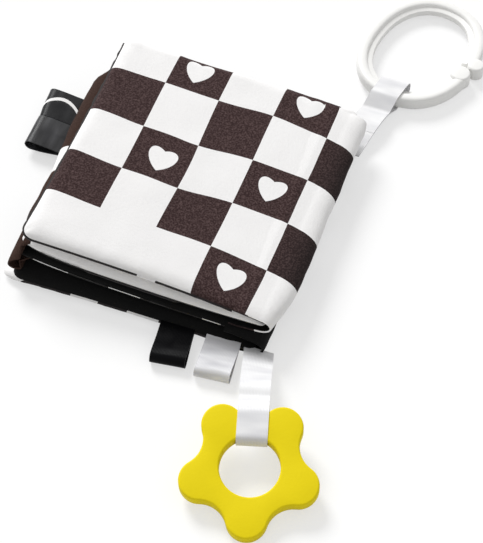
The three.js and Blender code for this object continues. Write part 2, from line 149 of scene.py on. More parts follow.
floor_mesh = bpy.data.meshes.new("floor")
bm = bmesh.new()
bmesh.ops.create_grid(bm, x_segments=1, y_segments=1, size=FLOOR_HALF)
bm.to_mesh(floor_mesh)
bm.free()
floor = bpy.data.objects.new("floor", floor_mesh)
floor.location.z = -FLOOR_DROP
bpy.context.scene.collection.objects.link(floor)

floor_material = bpy.data.materials.new("light_table")
floor_material.use_nodes = True
tree = floor_material.node_tree
tree.nodes.clear()
both = tree.nodes.new("ShaderNodeAddShader")
tree.links.new(plain_shader(tree, "BsdfDiffuse", FLOOR_SHOWN).outputs[0], both.inputs[0])
tree.links.new(plain_shader(tree, "Emission", 1.0, FLOOR_LIFT).outputs[0], both.inputs[1])
show(tree, both, plain_shader(tree, "BsdfDiffuse", FLOOR_PAPER), "ShaderNodeOutputMaterial")
floor_mesh.materials.append(floor_material)
print("lamp", LAMP_LIGHT, "fill", FILL_LIGHT)

# %% [markdown]
# ## Node helpers
# The prints are drawn by arithmetic on the cloth's own map, which is laid out in metres, so a square
# keeps its size wherever the cloth goes. Each node could be placed by hand, but a picture of this
# size needs dozens, so one small helper adds a Math node and links it.

# %% Node helpers


class Finish:
    """A cloth or plastic material with short ways to add nodes to it."""

    def __init__(self, name, roughness, sheen=0.0, specular=0.3):
        self.material = bpy.data.materials.new(name)
        self.material.use_nodes = True
        self.tree = self.material.node_tree
        self.shader = self.tree.nodes["Principled BSDF"]
        self.shader.inputs["Roughness"].default_value = roughness
        self.shader.inputs["Sheen Weight"].default_value = sheen
        self.shader.inputs["Specular IOR Level"].default_value = specular

    def node(self, kind, inputs=(), **settings):
        node = self.tree.nodes.new("ShaderNode" + kind)
        for name, value in settings.items():
            setattr(node, name, value)
        for place, value in dict(inputs).items():
            self.put(value, node.inputs[place])
        return node

    def put(self, value, socket):
        if isinstance(value, bpy.types.NodeSocket):
            self.tree.links.new(value, socket)
        else:
            socket.default_value = value

    def calc(self, operation, *values):
        return self.node("Math", dict(enumerate(values)), operation=operation).outputs[0]

    def flipped(self, value):
        return self.calc("SUBTRACT", 1.0, value)

    def kept_in(self, value, low, high):
        return self.calc("MINIMUM", self.calc("MAXIMUM", value, low), high)

    def between(self, value, low, high):
        """One where a value lies between two others."""
        above = self.calc("GREATER_THAN", value, low)
        return self.calc("MULTIPLY", above, self.calc("LESS_THAN", value, high))

    def map_places(self, uv_map):
        """The two coordinates of the piece's own map, in metres."""
        split = self.node("SeparateXYZ", {0: self.node("UVMap", uv_map=uv_map).outputs[0]})
        return split.outputs[0], split.outputs[1]

    def blend_colours(self, share, low, high):
        node = self.node("Mix", {"Factor": share}, data_type="RGBA")
        self.put(low, node.inputs["A"])
        self.put(high, node.inputs["B"])
        return node.outputs["Result"]

    def grain(self, size, detail=2.0, vector=None):
        """Fine noise between 0 and 1, with grains of a given size in metres."""
        if vector is None:
            vector = self.node("TexCoord").outputs["Object"]
        noise_inputs = {"Vector": vector, "Scale": 1.0 / size, "Detail": detail}
        return self.node("TexNoise", noise_inputs).outputs["Fac"]

    def relief(self, height, distance, strength):
        node = self.node("Bump", {"Height": height, "Distance": distance, "Strength": strength})
        self.tree.links.new(node.outputs[0], self.shader.inputs["Normal"])

    def colour(self, value):
        self.put(value, self.shader.inputs["Base Color"])


def rgb(red, green, blue):
    return (red, green, blue, 1.0)


# %% [markdown]
# ## Cotton and its prints
# Brushed cotton is dull, with a fine weave and a faint nap. The dark ink soaks in unevenly, so it
# shows small lighter flecks. Colours are written as the cloth reflects them. An image could hold the
# print, but arithmetic keeps every edge sharp at any distance.

# %% Cotton and its prints
SQUARE = 0.030
FIRST_COLUMN = 0.064
FIRST_ROW = 0.072
INK = rgb(0.034, 0.018, 0.018)
INK_FLECK = rgb(0.135, 0.088, 0.085)
# Page ink: near-black print, darker than the cover's ink partly as painted shade for the shaded front of the
# pile; the painted shade over the right fold also ends in it.
PAGE_INK_AND_PAINTED_SHADE = rgb(0.006, 0.006, 0.006)
ROLL_INK = rgb(0.042, 0.024, 0.019)
ROLL_FLECK = rgb(0.063, 0.036, 0.0285)
LINING_FLECK = rgb(0.009, 0.009, 0.009)
COTTON = rgb(0.91, 0.90, 0.895)
FLECK_SIZE = 0.0009
FLECK_START = 0.42
FLECK_CONTRAST = 2.4
WEAVE = 0.0006
WEAVE_HEIGHT = 0.25
NAP = 0.0012
CLOTH_RELIEF = 0.0003


def weave_relief(cloth, across, along):
    """Threads over and under each other, with some uneven nap."""
    turns = 2 * math.pi / WEAVE
    warp = cloth.calc("SINE", cloth.calc("MULTIPLY", across, turns))
    weft = cloth.calc("SINE", cloth.calc("MULTIPLY", along, turns))
    threads = cloth.calc("MULTIPLY", warp, weft)
    cloth.relief(cloth.calc("MULTIPLY_ADD", threads, WEAVE_HEIGHT, cloth.grain(NAP, 3.0)), CLOTH_RELIEF, 0.6)


def inked(cloth, dark, ink, fleck, painted_shade=0.0):
    """White cotton where dark is 0 and flecked ink where it is 1; the last share turns the ink into plain
    deep ink as painted shade.
    """
    flecks = cloth.calc("SUBTRACT", cloth.grain(FLECK_SIZE, 3.0), FLECK_START)
    flecks = cloth.calc("MAXIMUM", cloth.calc("MULTIPLY", flecks, FLECK_CONTRAST), 0.0)
    # Painted shade: the flecked ink blends towards plain deep ink by the last share.
    ink_and_painted_shade = cloth.blend_colours(painted_shade, cloth.blend_colours(flecks, ink, fleck), PAGE_INK_AND_PAINTED_SHADE)
    cloth.colour(cloth.blend_colours(dark, COTTON, ink_and_painted_shade))


# %% [markdown]
# ## Hearts and squares
# A heart is two round lobes over a point. It could be joined from circles and a square, but one
# formula does it: in a circle, the height is lifted by the distance from the middle line. On the
# cover the hearts sit a little off the middle of their squares, because the cloth was stretched
# when it was stuffed.

# %% Hearts and squares
HEART = 0.25
HEART_SPREAD = 0.7
HEART_TALL = 1.11
HEART_DOWN = 0.11
SLIDE = 0.0567
SLIDE_PER_ROW = -0.0208
RISE = 0.05
RISE_PER_ROW = -0.0083


def cell_of(cloth, value, first):
    """The number of the square and the place within it, for one direction."""
    scaled = cloth.calc("DIVIDE", cloth.calc("ADD", value, first), SQUARE)
    number = cloth.calc("MAXIMUM", cloth.calc("FLOOR", scaled), 0.0)
    return number, cloth.calc("SUBTRACT", scaled, number)


def heart_in(cloth, place_x, place_y):
    """One inside a heart in the middle of a square, whose tip points to the front."""
    x = cloth.calc("DIVIDE", cloth.calc("SUBTRACT", place_x, 0.5), HEART)
    y = cloth.calc("DIVIDE", cloth.calc("SUBTRACT", place_y, 0.5), HEART)
    height = cloth.calc("MULTIPLY_ADD", y, HEART_TALL, HEART_DOWN)
    lifted = cloth.calc("MULTIPLY_ADD", cloth.calc("ABSOLUTE", x), -HEART_SPREAD, height)
    total = cloth.calc("ADD", cloth.calc("MULTIPLY", x, x), cloth.calc("MULTIPLY", lifted, lifted))
    return cloth.calc("LESS_THAN", total, 1.0)


def stretched_heart(cloth, column, row, x, y):
    """A heart that is pulled off the middle of its square, most at the left and right."""
    slide = cloth.calc("MULTIPLY_ADD", row, SLIDE_PER_ROW, SLIDE)
    slide = cloth.calc("MULTIPLY", cloth.calc("SUBTRACT", 3.0, column), slide)
    rise = cloth.calc("MULTIPLY_ADD", row, RISE_PER_ROW, RISE)
    rise = cloth.calc("MULTIPLY_ADD", cloth.calc("SUBTRACT", column, 1.0), rise, -RISE)
    return heart_in(cloth, cloth.calc("SUBTRACT", x, slide), cloth.calc("SUBTRACT", y, rise))


# %% [markdown]
# ## The cover's check and the plain cloths
# The cover has dark squares with a heart in every second row of them. Where the cloth turns away from the
# lamp over the right fold, its ink is darkened towards deep page ink as painted shade, and one square at the
# front left stays bare. The folds and inner pages have plainer cloths of their own. Each could be one big
# material with switches, but short ones are easier to read.

# %% The cover's check and the plain cloths
# Painted shade over the right fold: where it starts along the print, how fast it deepens, and how deep it
# gets.
FOLD_PAINTED_SHADE_START = 0.052
FOLD_PAINTED_SHADE_RATE = 32.0
FOLD_PAINTED_SHADE_MOST = 0.62
ROLL_SQUARE = (-0.018, -0.001)
PAGE_HEARTS = (-0.045, 0.055)


def check_print(name):
    cloth = Finish(name, 0.9, sheen=0.04, specular=0.1)
    u, v = cloth.map_places("print")
    column, x = cell_of(cloth, u, FIRST_COLUMN)
    row, y = cell_of(cloth, v, FIRST_ROW)
    dark = cloth.calc("MODULO", cloth.calc("ADD", column, row), 2.0)
    even_row = cloth.calc("LESS_THAN", cloth.calc("MODULO", row, 2.0), 0.5)
    heart = cloth.calc("MULTIPLY", stretched_heart(cloth, column, row, x, y), even_row)
    dark = cloth.calc("MULTIPLY", dark, cloth.flipped(heart))
    second = cloth.calc("COMPARE", column, 1.0, 0.1)
    front = cloth.calc("LESS_THAN", row, 0.5)
    dark = cloth.calc("MULTIPLY", dark, cloth.flipped(cloth.calc("MULTIPLY", second, front)))
    # Painted shade: past the fold's start the ink turns to plain deep ink, standing in for the side turned
    # from the lamp.
    over_fold = cloth.calc("MULTIPLY", cloth.calc("SUBTRACT", u, FOLD_PAINTED_SHADE_START), FOLD_PAINTED_SHADE_RATE)
    inked(cloth, dark, INK, INK_FLECK, cloth.kept_in(over_fold, 0.0, FOLD_PAINTED_SHADE_MOST))
    weave_relief(cloth, u, v)
    return cloth.material


def plain_print(name, ink, fleck, bare=None):
    """Cloth that is printed dark all over, apart from a white square between two places along it."""
    cloth = Finish(name, 0.9, sheen=0.0, specular=0.08)
    u, v = cloth.map_places("print")
    dark = cloth.flipped(cloth.between(v, *bare)) if bare else 1.0
    inked(cloth, dark, ink, fleck)
    weave_relief(cloth, u, v)
    return cloth.material


def heart_print(name, ground_dark):
    """Plain pages with a heart in every second square, light on dark or dark on light."""
    cloth = Finish(name, 0.9, sheen=0.04, specular=0.1)
    u, v = cloth.map_places("print")
    column, x = cell_of(cloth, u, FIRST_COLUMN)
    row, y = cell_of(cloth, v, FIRST_ROW)
    odd = cloth.calc("MODULO", cloth.calc("ADD", column, row), 2.0)
    heart = cloth.calc("MULTIPLY", heart_in(cloth, x, y), odd)
    heart = cloth.calc("MULTIPLY", heart, cloth.between(v, *PAGE_HEARTS))
    if ground_dark:
        # The near-black ground is partly painted shade for the front of the pile.
        inked(cloth, cloth.flipped(heart), PAGE_INK_AND_PAINTED_SHADE, PAGE_INK_AND_PAINTED_SHADE)
    else:
        inked(cloth, heart, INK, INK_FLECK)
    weave_relief(cloth, u, v)
    return cloth.material


cover_print = check_print("cotton_check")
roll_print = plain_print("cotton_brown", ROLL_INK, ROLL_FLECK, ROLL_SQUARE)
fold_lining = plain_print("cotton_black", PAGE_INK_AND_PAINTED_SHADE, LINING_FLECK)
dark_page = heart_print("cotton_dark_hearts", True)
light_page = heart_print("cotton_white_hearts", False)
print("prints", [cloth.name for cloth in (cover_print, roll_print, fold_lining, dark_page, light_page)])

# %% [markdown]
# ## Satin, silicone and moulded plastic
# Satin ribbon is woven so that long threads lie on top: it shines across its length. Silicone is matte with
# a soft skin. The ring's plastic is smoother, with a faint mould texture. A plain colour would do for each
# from afar, but up close a ribbon without threads looks like paper. The ribbons' colour also has broad bands
# painted in: painted shade on the white ribbons and painted sheen on the black ones.

# %% Satin, silicone and moulded plastic
SATIN_THREAD = 0.0007
THREAD_SHADE = 0.05
THREAD_HEIGHT = 0.15
BAND = 0.007
BAND_STRETCH = 0.25
BAND_START = 0.40
BAND_CONTRAST = 3.2
STRIPE_HALF = 0.0011
STRIPE_TOP = 0.0053
STRIPE_MIDDLE = 0.0243
STRIPE_BEND = 55.0
STRIPE_END = 0.038


def white_stripe(ribbon, u, v, surface):
    """A curved white line across the upper side of the ribbon."""
    along = ribbon.calc("SUBTRACT", v, STRIPE_MIDDLE)
    bend = ribbon.calc("MULTIPLY_ADD", ribbon.calc("MULTIPLY", along, along), STRIPE_BEND, STRIPE_TOP)
    near = ribbon.calc("COMPARE", u, bend, STRIPE_HALF)
    upper = ribbon.calc("LESS_THAN", v, STRIPE_END)
    return ribbon.blend_colours(ribbon.calc("MULTIPLY", near, upper), surface, COTTON)


def satin(name, colour, painted_band_colour, specular, striped=False):
    """Satin with broad bands of a second colour painted across it: painted shade where that colour is
    darker, painted sheen where it is lighter.
    """
    ribbon = Finish(name, 0.36, specular=specular)
    ribbon.shader.inputs["Anisotropic"].default_value = 0.5
    u, v = ribbon.map_places("ribbon")
    threads = ribbon.calc("SINE", ribbon.calc("MULTIPLY", u, 2 * math.pi / SATIN_THREAD))
    stretched = ribbon.node("CombineXYZ", {0: ribbon.calc("MULTIPLY", u, BAND_STRETCH), 1: v}).outputs[0]
    bands = ribbon.grain(BAND, 1.5, stretched)
    # Painted shade and sheen: the share of the second colour in broad bands, with the threads mixed in.
    painted_band_share = ribbon.calc("MULTIPLY_ADD", ribbon.calc("SUBTRACT", bands, BAND_START), BAND_CONTRAST,
                        ribbon.calc("MULTIPLY", threads, THREAD_SHADE))
    surface = ribbon.blend_colours(ribbon.kept_in(painted_band_share, 0.0, 1.0), colour, painted_band_colour)
    ribbon.colour(white_stripe(ribbon, u, v, surface) if striped else surface)
    ribbon.relief(ribbon.calc("MULTIPLY_ADD", threads, THREAD_HEIGHT, bands), CLOTH_RELIEF, 0.5)
    return ribbon.material


# Second colours: painted shade on the white ribbons, painted sheen on the black ones; the white loop's satin
# is also greyer than the straps'.
white_satin = satin("satin_white", rgb(0.86, 0.86, 0.865), rgb(0.72, 0.72, 0.74), 0.35)
loop_satin = satin("satin_loop", rgb(0.74, 0.74, 0.76), rgb(0.46, 0.46, 0.49), 0.4)
black_satin = satin("satin_black", rgb(0.002, 0.002, 0.0025), rgb(0.007, 0.007, 0.008), 0.04)
left_satin = satin("satin_left", rgb(0.004, 0.004, 0.005), rgb(0.06, 0.06, 0.065), 0.25)
striped_satin = satin("satin_striped", rgb(0.003, 0.003, 0.004), rgb(0.024, 0.024, 0.026), 0.15, True)


def moulded(name, colour, roughness, grain, depth, specular=0.4):
    """A moulded skin: a faint mottle in the colour and a fine grain in the relief."""
    skin = Finish(name, roughness, specular=specular)
    darker = rgb(*(0.93 * part for part in colour[:3]))
    skin.colour(skin.blend_colours(skin.grain(grain * 8, 2.0), colour, darker))
    skin.relief(skin.grain(grain, 2.0), depth, 0.4)
    return skin.material


silicone = moulded("silicone_yellow", rgb(0.87, 0.70, 0.006), 0.6, 0.0011, 0.00015, specular=0.12)
ivory = moulded("plastic_ivory", rgb(0.92, 0.915, 0.895), 0.38, 0.0005, 0.00003)
print("finishes", white_satin.name, black_satin.name, silicone.name, ivory.name)

# %% [markdown]
# ## Seam thread
# The pages are sewn with dark thread. Where a stitch has slipped, the white lining shows as a short
# dash in the front seam. The dashes could be loose slivers of cloth, but at half a millimetre a
# change of colour along the seam is enough.

# %% Seam thread
THREAD = rgb(0.014, 0.011, 0.011)
STITCH = 0.0008
STITCH_RELIEF = 0.0002
FRONT_SEAM = -0.05


def thread_material(name, dashes=()):
    """Seam thread, white where a dash of the lining shows."""
    thread = Finish(name, 0.8, sheen=0.1)
    thread.colour(THREAD)
    if dashes:
        u, v = thread.map_places("print")
        white = 0.0
        for low, high in dashes:
            white = thread.calc("MAXIMUM", white, thread.between(u, low, high))
        white = thread.calc("MULTIPLY", white, thread.calc("LESS_THAN", v, FRONT_SEAM))
        thread.colour(thread.blend_colours(white, THREAD, COTTON))
    thread.relief(thread.grain(STITCH, 2.0), STITCH_RELIEF, 0.5)
    return thread.material


seam_threads = {
    1: thread_material("thread_cover", [(-0.0033, 0.0065)]),
    2: thread_material("thread_second"),
    3: thread_material("thread_third", [(-0.0575, -0.0376), (-0.0153, 0.002), (0.0353, 0.0452)]),
    4: thread_material("thread_bottom", [(-0.080, -0.058), (-0.0324, -0.0176), (-0.0018, 0.0154)]),
}
print("threads", [thread.name for thread in seam_threads.values()])

# %% [markdown]
# ## The shape of a pad
# Each page is two squares of cotton sewn face to face, turned and stuffed. The seam runs along the
# middle of its edge, the free sides draw in a little between the corners, and the pile is thinner at
# the right, where the folds squeeze it. A block with many cuts is made once and its points are moved
# to that shape. A cloth simulation could inflate it, but the pads lie pressed on each other, so the
# room they have decides their shape.

# %% The shape of a pad
MM = 0.001
HALF_X = 66.0
HALF_Y = 72.0
THICK_LEFT = 8.6
THICK_RIGHT = 5.5
LEAN_X = 1.5
LEAN_Y = 3.0
CORNER_FREE = 7.0
CORNER_SHARP = 2.5
CORNER_FOLD = 3.0
DRAW_IN = 1.2
EDGE_ROUND = 8.0
BACK_BOW = 2.0
COVER_BACK_ROUND = 5.0
FOLD_ROUND = 20.0
CROWN = 1.6
CLEAR = 0.15
SEAM_HALF = 0.35
PANELS = (1, 2, 3, 4)
LEFT_FOLD = (2, 3)
STEP_DEPTH = 45.0
FRONT_STEP = {
    1: (1.3, 0.0, 1.0, -1.5),
    2: (1.6, 6.0, 14.0, 3.0),
    3: (3.4, 5.5, 28.0, 1.2),
    4: (1.8, 0.0, 1.0, 0.0),
}


def ramp(value, low, high):
    """Rises smoothly from 0 at low to 1 at high."""
    share = min(1.0, max(0.0, (value - low) / (high - low)))
    return share * share * (3 - 2 * share)


def slot_thickness(x):
    return THICK_LEFT + (THICK_RIGHT - THICK_LEFT) * (x + HALF_X) / (2 * HALF_X)


def steps_up(number):
    return len(PANELS) - number


def centre_of(number):
    return LEAN_X * steps_up(number), LEAN_Y * steps_up(number)


def quarter_round(share):
    """The height of a quarter circle, 0 at its foot and 1 from its top on."""
    return math.sqrt(max(0.0, 1.0 - (1.0 - min(1.0, share)) ** 2))


def rounding(number, x):
    on_fold = x > 0 or number in LEFT_FOLD
    return FOLD_ROUND if on_fold else EDGE_ROUND


def lift_at(number, x, y):
    """How far the faces have parted: 0 at the seam and 1 where the page is full."""
    across = quarter_round((HALF_X - abs(x)) / rounding(number, x))
    turn = COVER_BACK_ROUND if number == 1 and y > 0 else EDGE_ROUND
    return across * quarter_round((HALF_Y - abs(y)) / turn)


def face_height(number, side, x, y, lift):
    """The height of a pad's upper or lower face at a place on the panel."""
    middle = (steps_up(number) + 0.5) * slot_thickness(x)
    clear = 0.0 if number == 4 and side < 0 else CLEAR
    half = slot_thickness(x) / 2 - clear
    crown = 0.0
    if number == 1 and side > 0:
        crown = CROWN * (1 - (x / HALF_X) ** 2) * (1 - (y / HALF_Y) ** 2)
    return middle + side * (SEAM_HALF * (1 - lift) + half * lift) + crown * lift


def corner_radius(number, x, y):
    if number == 1 and x < 0 < y:
        return CORNER_SHARP
    return CORNER_FOLD if x > 0 or number in LEFT_FOLD else CORNER_FREE


def outward(number, x, y):
    """The direction straight away from the pad at a place on its outline."""
    radius = corner_radius(number, x, y)
    away = Vector((max(0.0, abs(x) - HALF_X + radius), max(0.0, abs(y) - HALF_Y + radius), 0.0))
    away = away.normalized()
    return Vector((math.copysign(away.x, x), math.copysign(away.y, y), 0.0))


def round_corner(number, x, y):
    """Moves a point of the square plan into the plan with round corners."""
    radius = corner_radius(number, x, y)
    p = (abs(x) - HALF_X + radius) / radius
    q = (abs(y) - HALF_Y + radius) / radius
    if p <= 0 or q <= 0:
        return x, y
    new_p = p * math.sqrt(1 - q * q / 2)
    new_q = q * math.sqrt(1 - p * p / 2)
    return (math.copysign(HALF_X - radius + radius * new_p, x),
            math.copysign(HALF_Y - radius + radius * new_q, y))


def front_step(number, x, y):
    """How far the front edge stands back: a plain step, more near the left end, and more at the right."""
    plain, left, length, right = FRONT_STEP[number]
    step = plain + left * math.exp(-(x + HALF_X) / length) + right * max(0.0, x / HALF_X) ** 2
    return step * max(0.0, min(1.0, (-y - HALF_Y + STEP_DEPTH) / STEP_DEPTH)) ** 2


def back_bow(x, y):
    """The right part of the cover's back edge bows out towards the ring."""
    return BACK_BOW * ramp(x, -20.0, 26.0) * max(0.0, 1 - (HALF_Y - y) / EDGE_ROUND)


def draw_in(number, x, y):
    """Free sides curve inwards between their corners."""
    fade_x = max(0.0, 1 - (HALF_X - abs(x)) / EDGE_ROUND)
    fade_y = max(0.0, 1 - (HALF_Y - abs(y)) / EDGE_ROUND)
    free_x = 0.0 if x > 0 or number in LEFT_FOLD else 1.0
    new_x = x - free_x * DRAW_IN * fade_x * (x / HALF_X) * (1 - (y / HALF_Y) ** 2)
    if number == 1 and y > 0:
        return new_x, y + back_bow(x, y)
    new_y = y - DRAW_IN * fade_y * (y / HALF_Y) * (1 - (x / HALF_X) ** 2)
    return new_x, new_y + front_step(number, x, y)


print("thickness at the left and right", slot_thickness(-HALF_X), slot_thickness(HALF_X))

# %% [markdown]
# ## Making the pads
# Points crowd towards the edges, where the cloth turns. Short puckers run in from the seam and broad,
# shallow dents cross the face, as stuffing never lies even. They could be sculpted by hand, but noise
# that is read at each place gives the same cloth on every run.

# %% Making the pads
PAD_CUTS = 62
EDGE_CROWD = 0.78
PUCKER = 0.7
PUCKER_INNER = 0.6
PUCKER_WIDTH = 4.5
PUCKER_LENGTH = 22.0
PUCKER_FADE = 7.0
DENT = 0.35
DENT_BROAD = 26.0
DENT_SMALL = 11.0
SEAM_OUT = 0.9
SEAM_WAVE = 0.35
SEAM_WAVE_LENGTH = 3.2
HIDDEN_BACK = 4.0
TAB = Vector((-5.2, 0.8, -2.0))
TAB_X = 2.0 - HALF_X
TAB_Y = 5.0 - HALF_Y
TAB_WIDTH = 6.0
FOLD_START = 48.0
LEFT_FOLD_START = 59.0
FOLD_CLOTH = 58.0
FOLD_INNER = 10.0


def crowded(share):
    """Moves evenly spaced shares between -1 and 1 closer to the ends."""
    return (1 - EDGE_CROWD) * share + EDGE_CROWD * math.sin(math.pi * share / 2)


def pucker_at(number, side, x, y):
    to_x = HALF_X - abs(x)
    to_y = HALF_Y - abs(y)
    depth = min(to_x, to_y)
    along = y if to_x < to_y else x
    place = Vector((along / PUCKER_WIDTH, depth / PUCKER_LENGTH, number * 9.1 + side * 3.3))
    fade = min(1.0, depth / 1.5) * math.exp(-depth / PUCKER_FADE)
    return PUCKER * noise.noise(place) * fade


def dent_at(number, side, x, y):
    broad = noise.noise(Vector((x / DENT_BROAD, y / DENT_BROAD, number * 5.7 + side * 2.1)))
    small = noise.noise(Vector((x / DENT_SMALL, y / DENT_SMALL, number * 3.9 + side * 4.7)))
    return DENT * (1.2 * broad + 0.5 * small)


# %% [markdown]
# ## Where the print lies
# The check was printed flat, and the bulging cloth then pulled it off its straight lines, most of all
# where it goes over the right fold. The print could be left as a perfect grid, but its gently bent
# rows are what makes the cover look stuffed. Each pull below has a place, a width and depth, and how
# far it moves the print there.

# %% Where the print lies
PRINT_PULLS = (
    (-64.0, -48.0, 20.0, 26.0, -2.4, 2.0),
    (-36.0, 0.0, 17.0, 27.0, 0.2, -2.4),
    (-34.0, 58.0, 44.0, 26.0, -0.2, 0.7),
    (-4.0, 0.0, 18.0, 27.0, 1.5, -3.8),
    (0.0, -44.0, 42.0, 18.0, -0.2, 0.9),
    (26.0, -60.0, 18.0, 30.0, -0.9, 0.1),
    (26.0, 50.0, 20.0, 24.0, -0.3, 2.8),
    (56.0, -56.0, 17.0, 24.0, -0.1, -2.2),
    (60.0, 45.0, 16.0, 36.0, 0.7, 0.5),
)
ROLL_FROM = 58.0
ROLL_TO = 86.0
ROLL_SLIDE = 0.5
ROLL_SLIDE_FRONT = 0.6
ROLL_SKEW = 5.0
ROLL_SKEW_BACK = 2.8


def print_place(x, y):
    """The place on the flat print that lies at x, y."""
    over_fold = ramp(x, ROLL_FROM, ROLL_TO)
    pull_x = over_fold * (ROLL_SLIDE + ROLL_SLIDE_FRONT * (1 - ramp(y, -20.0, 40.0)))
    pull_y = -over_fold * (ROLL_SKEW - ROLL_SKEW_BACK * ramp(y, 0.0, 70.0))
    for middle_x, middle_y, wide, deep, across, along in PRINT_PULLS:
        near = math.exp(-((x - middle_x) / wide) ** 2 - ((y - middle_y) / deep) ** 2)
        pull_x += near * across
        pull_y += near * along
    return x - pull_x, y - pull_y


print("print at the cover's middle", print_place(0.0, 0.0))

# %% [markdown]
# ## Stuffing and sewing
# A grid of points becomes a page: its outline, thickness, puckers and seam. The seam's own strip of
# faces is pulled out a little, so that it stands free like turned cloth. It could be a separate cord,
# but a real page has no piping there.

# %% Stuffing and sewing


def finish_mesh(name, bm, materials, sharp=None):
    """Turns a bmesh in millimetres into a smooth-shaded object in metres."""
    bmesh.ops.scale(bm, vec=(MM, MM, MM), verts=bm.verts)
    mesh = bpy.data.meshes.new(name)
    bm.to_mesh(mesh)
    bm.free()
    mesh.polygons.foreach_set("use_smooth", [True] * len(mesh.polygons))
    if sharp is not None:
        mesh.set_sharp_from_angle(angle=math.radians(sharp))
    for material in materials:
        mesh.materials.append(material)
    piece = bpy.data.objects.new(name, mesh)
    bpy.context.scene.collection.objects.link(piece)
    return piece


def add_seam_edge(bm, number, plan):
    """Lets the seam stand out where no fold covers it; the bottom page gets a tab at its corner."""
    free = []
    for face in bm.faces:
        sides = [vert[plan].z for vert in face.verts]
        reach = [vert[plan].x for vert in face.verts]
        hidden = max(reach) > FOLD_START or (number in LEFT_FOLD and min(reach) < -LEFT_FOLD_START)
        at_back = min(vert[plan].y for vert in face.verts) > HALF_Y - HIDDEN_BACK
        hidden = hidden or (number == 1 and at_back)
        if max(sides) > 0 > min(sides) and not hidden:
            free.append(face)
    made = bmesh.ops.extrude_face_region(bm, geom=free)["geom"]
    bmesh.ops.delete(bm, geom=[face for face in free if face.is_valid], context="FACES")
    edge = {item for item in made if isinstance(item, bmesh.types.BMVert)}
    for vert in edge:
        x, y, side = vert[plan]
        wave = noise.noise(Vector((x / SEAM_WAVE_LENGTH, y / SEAM_WAVE_LENGTH, number * 4.1)))
        vert.co += outward(number, x, y) * SEAM_OUT * (1 + 0.5 * wave)
        vert.co.z += SEAM_WAVE * wave
        if number == PANELS[-1]:
            from_tab = (x - TAB_X) ** 2 + (y - TAB_Y) ** 2
            vert.co += TAB * math.exp(-from_tab / TAB_WIDTH ** 2)
    return edge


def make_pad(number, name, upper, lower, print_of):
    """A stuffed page; print_of gives the place along the print for its upper and its lower face."""
    bm = bmesh.new()
    bmesh.ops.create_cube(bm, size=2.0)
    flat = [edge for edge in bm.edges if abs(edge.verts[0].co.z - edge.verts[1].co.z) < 0.5]
    bmesh.ops.subdivide_edges(bm, edges=flat, cuts=PAD_CUTS, use_grid_fill=True)
    plan = bm.verts.layers.float_vector.new("plan")
    centre_x, centre_y = centre_of(number)
    for vert in bm.verts:
        side = 1 if vert.co.z > 0 else -1
        x = HALF_X * crowded(vert.co.x)
        y = HALF_Y * crowded(vert.co.y)
        lift = lift_at(number, x, y)
        z = face_height(number, side, x, y, lift)
        pucker = side * pucker_at(number, side, x, y)
        if number == 1 and side > 0:
            z += dent_at(number, side, x, y) * lift + pucker
        else:
            z += PUCKER_INNER * pucker
        z = max(z, 0.0)
        x, y = draw_in(number, *round_corner(number, x, y))
        vert[plan] = Vector((x, y, side))
        vert.co = Vector((centre_x + x, centre_y + y, z))
    seam_edge = add_seam_edge(bm, number, plan)
    prints = bm.loops.layers.uv.new("print")
    for face in bm.faces:
        sides = [vert[plan].z for vert in face.verts]
        seam = max(sides) > 0 > min(sides) or any(vert in seam_edge for vert in face.verts)
        face.material_index = 2 if seam else (0 if sides[0] > 0 else 1)
        for loop in face.loops:
            x, y, side = loop.vert[plan]
            if number == 1 and side > 0 and not seam:
                x, y = print_place(x, y)
            u = x if seam else print_of[side > 0](x)
            loop[prints].uv = (u * MM, y * MM)
    bmesh.ops.recalc_face_normals(bm, faces=bm.faces)
    piece = finish_mesh(name, bm, [upper, lower, seam_threads[number]])
    return piece


def straight(x):
    return x


def after_first_fold(x):
    """The place along one long cloth that runs from the cover over the folds, on the second page."""
    return 2 * FOLD_START + FOLD_CLOTH - x


def after_left_fold(x):
    return after_first_fold(-HALF_X) + FOLD_INNER + HALF_X + x


def after_last_fold(x):
    return after_left_fold(FOLD_START) + FOLD_CLOTH + FOLD_START - x


pads = {
    1: make_pad(1, "cover_pad", cover_print, light_page, {True: straight, False: straight}),
    2: make_pad(2, "second_pad", light_page, dark_page, {True: straight, False: after_first_fold}),
    3: make_pad(3, "third_pad", dark_page, dark_page, {True: after_left_fold, False: straight}),
    4: make_pad(4, "bottom_pad", dark_page, dark_page, {True: straight, False: after_last_fold}),
}
pad_bodies = {1: "cover_panel", 2: "second_panel", 3: "third_panel", 4: "bottom_panel"}
for number, pad in pads.items():
    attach(pad, pad_bodies[number])
    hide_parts(*[f"panel_{number}_{part}" for part in ("upper_cloth", "lower_cloth", "wadding")])
    print(pad.name, "points", len(pad.data.vertices))

# %% [markdown]
# ## Sheets and ribbons
# A ribbon or a fold is one strip of cloth that follows a line seen from its edge. A flat grid is
# made first, its rows are laid along that line by length, and the strip then gets its thickness. An
# extruded outline would also do, but then the cloth's map wouldn't follow its length.

# %% Sheets and ribbons
STRIP_SHARP = math.radians(50)


def along_line(points, share):
    """The point of a broken line at a share of its length."""
    lengths = [(b - a).length for a, b in zip(points, points[1:])]
    target = share * sum(lengths)
    for a, b, length in zip(points, points[1:], lengths):
        if target <= length:
            return a.lerp(b, target / max(length, 1e-9))
        target -= length
    return points[-1].copy()


def line_length(points):
    return sum((b - a).length for a, b in zip(points, points[1:]))


